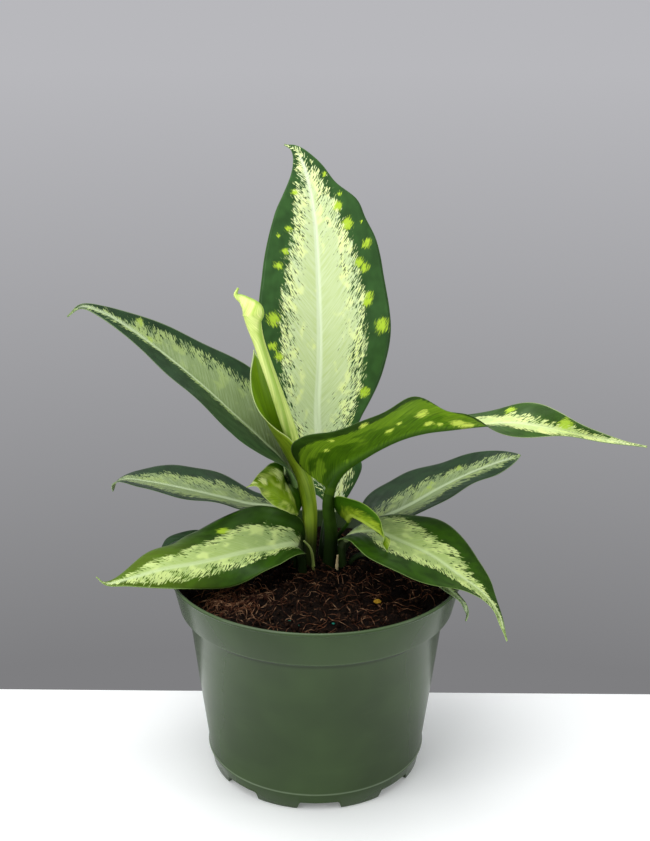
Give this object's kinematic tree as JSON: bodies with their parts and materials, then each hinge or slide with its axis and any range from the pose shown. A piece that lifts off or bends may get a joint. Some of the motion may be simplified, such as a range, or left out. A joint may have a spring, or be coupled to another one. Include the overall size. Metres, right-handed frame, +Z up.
{
  "type": "potted dieffenbachia",
  "caption": "Potted dieffenbachia with variegated lance-shaped leaves, a rolled new leaf and a round nursery pot with drain notches.",
  "frame": {"origin": "under the middle of the whole plant's bounding box, on the surface that the pot stands on", "axes": "+Z up, +X to the right and -Y towards the front of the plant as the picture shows it; the pot's axis is parallel to Z at x = -0.0198"},
  "size_m": [0.3006, 0.16, 0.334],
  "materials": {
    "leaf_shaded": "satin, dark green with a cream middle",
    "leaf_fresh": "satin, fresh green with a cream middle",
    "leaf_bright": "satin, yellow-green underside",
    "sheath": "satin",
    "shoot": "smooth satin",
    "papery": "dry and matt",
    "soil": "loose and matt",
    "pot": "smooth, softly glossy"
  },
  "bodies": {
    "root": {"leaf_tall_back": "leaf_shaded", "leaf_upper_left": "leaf_shaded", "leaf_middle_left": "leaf_shaded", "leaf_front_left": "leaf_fresh", "leaf_middle_right": "leaf_shaded", "leaf_front_right": "leaf_fresh", "leaf_twisted_right": "leaf_bright", "leaf_small_left": "leaf_bright", "leaf_small_right": "leaf_bright", "leaf_low_left": "leaf_shaded", "leaf_low_back": "leaf_shaded", "leaf_low_right": "leaf_shaded", "leaf_sheath": "sheath", "leaf_rolled": "shoot", "stub": "papery", "bract": "papery", "soil": "soil", "pot": "pot"}
  },
  "joints": []
}
